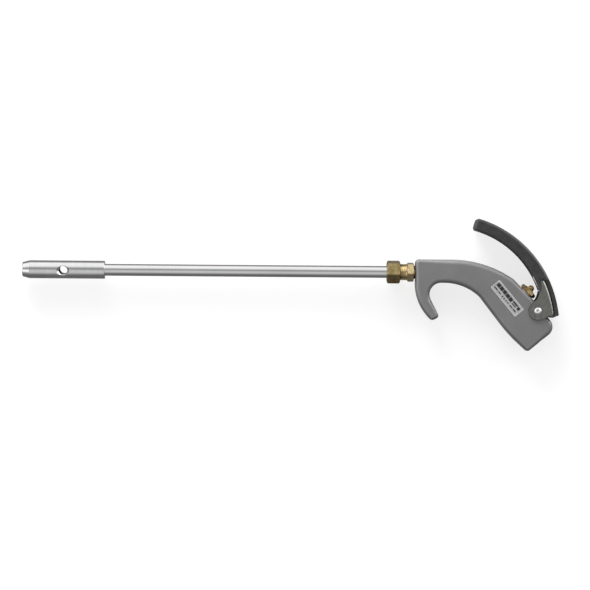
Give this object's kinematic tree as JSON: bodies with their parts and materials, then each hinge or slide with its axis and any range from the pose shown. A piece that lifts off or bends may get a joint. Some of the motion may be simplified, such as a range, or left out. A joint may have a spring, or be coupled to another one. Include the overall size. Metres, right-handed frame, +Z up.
{
  "type": "air blow gun",
  "caption": "Pistol-grip compressed-air blow gun with a squeeze lever, finger hook, long extension tube and cross-drilled safety tip.",
  "frame": {"origin": "middle of the air inlet's mouth, in the end face of the grip", "axes": "+X from the nozzle tip towards the handle, along the barrel; +Z up, away from the finger hook; +Y across the thickness, to the far side of the data plate"},
  "size_m": [0.5713, 0.028, 0.1413],
  "materials": {
    "grey_paint": "satin",
    "satin_steel": "satin",
    "plated_steel": "satin",
    "bright_steel": "gloss",
    "brass": "satin",
    "black_vinyl": "matte",
    "black_rubber": "matte",
    "fibre": "matte",
    "nylon": "satin",
    "label": "satin"
  },
  "bodies": {
    "handle": {"handle_casting": "grey_paint", "data_plate": "label", "connector_body": "brass", "compression_nut": "brass", "compression_ferrule": "brass", "extension_tube": "satin_steel", "nozzle_tip": "satin_steel", "nozzle_jet": "brass", "valve_bonnet": "brass", "bonnet_washer": "fibre", "bonnet_seal": "black_rubber", "stem_packing": "black_rubber", "gland_nut": "brass", "valve_spring": "bright_steel", "pivot_rivet": "bright_steel"},
    "valve_stem": {"valve_stem": "bright_steel", "stem_button": "brass", "poppet_seal": "black_rubber", "poppet_cup": "brass", "poppet_nut": "bright_steel"},
    "lever": {"lever_arm": "plated_steel", "lever_grip": "black_vinyl", "thrust_pad": "nylon", "pad_rivet": "bright_steel"}
  },
  "joints": [
    {"name": "lever_squeeze", "type": "hinge", "parent": "handle", "child": "lever", "pos_m": [-0.00353, 0, 0.03244], "axis": [0, -1, 0], "range_deg": [0, 21], "stiffness_Nm_per_rad": 1.2, "springref_deg": -20.05},
    {"name": "stem_stroke", "type": "slide", "parent": "handle", "child": "valve_stem", "axis": [-0.7193, 0, -0.6947], "range_m": [0, 0.0042], "deforming": ["valve_spring"]}
  ],
  "couplings": [
    {"joint": "stem_stroke", "follows": "lever_squeeze", "m_per_rad": 0.011459}
  ]
}
